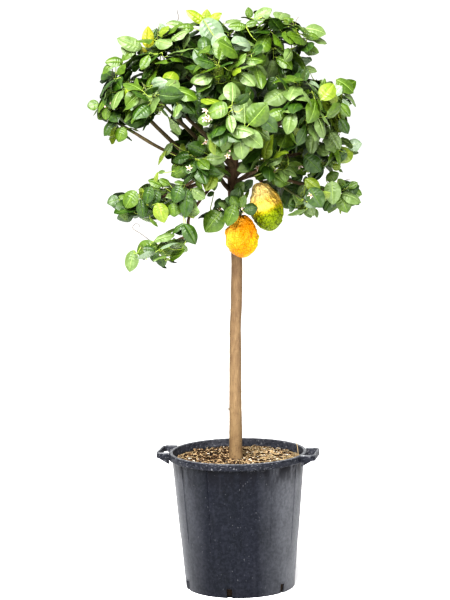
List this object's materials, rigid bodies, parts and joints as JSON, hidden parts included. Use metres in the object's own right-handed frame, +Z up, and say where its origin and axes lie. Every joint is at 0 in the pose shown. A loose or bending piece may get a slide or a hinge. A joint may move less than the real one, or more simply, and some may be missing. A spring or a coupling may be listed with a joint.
{
  "type": "potted citron tree",
  "caption": "Citron tree grown as a standard: a slender clear trunk, a round leafy crown with large hanging citrons, in a dark ribbed nursery pot with loop handles.",
  "frame": {"origin": "middle of the pot's flat underside", "axes": "+Z up along the trunk; -Y towards the viewer of the picture, +X to that viewer's right"},
  "size_m": [0.7484, 0.7006, 1.5904],
  "materials": {
    "pot": "dusty dark slate plastic with fine scuffs",
    "soil": "loose bark chips and dry fibre",
    "bark": "fine-grained tan bark",
    "bough": "darker reddish-brown young bark, green towards the twigs",
    "foliage": "glossy puckered citrus leaves, light to dark green",
    "fruit": "knobbly yellow peel with lime-green patches"
  },
  "bodies": {
    "root": {"bough_back": "bough", "bough_back_left": "bough", "bough_back_right": "bough", "bough_citron": "bough", "bough_front": "bough", "bough_front_left": "bough", "bough_front_right": "bough", "bough_hanging_left": "bough", "bough_low_left": "bough", "bough_low_right": "bough", "bough_right": "bough", "bough_shoulder_left": "bough", "bough_skirt_back_left": "bough", "bough_skirt_back_right": "bough", "bough_skirt_left": "bough", "bough_skirt_right": "bough", "bough_top_back": "bough", "bough_top_front": "bough", "bough_top_left": "bough", "bough_top_right": "bough", "citron_front": "fruit", "citron_right": "fruit", "crown_top_back": "foliage", "crown_top_front": "foliage", "crown_top_left": "foliage", "crown_top_middle": "foliage", "crown_top_right": "foliage", "handle_left": "pot", "handle_right": "pot", "hanging_left": "foliage", "low_back_left": "foliage", "low_back_right": "foliage", "low_front_left": "foliage", "low_front_right": "foliage", "low_left": "foliage", "low_right": "foliage", "pot": "pot", "shoulder_back": "foliage", "shoulder_back_left": "foliage", "shoulder_back_right": "foliage", "shoulder_front": "foliage", "shoulder_front_left": "foliage", "shoulder_front_right": "foliage", "shoulder_left": "foliage", "shoulder_right": "foliage", "skirt_back_left": "foliage", "skirt_back_right": "foliage", "skirt_left": "foliage", "skirt_left_inner": "foliage", "skirt_middle": "foliage", "skirt_right": "foliage", "skirt_right_inner": "foliage", "soil": "soil", "trunk": "bark"}
  },
  "joints": []
}
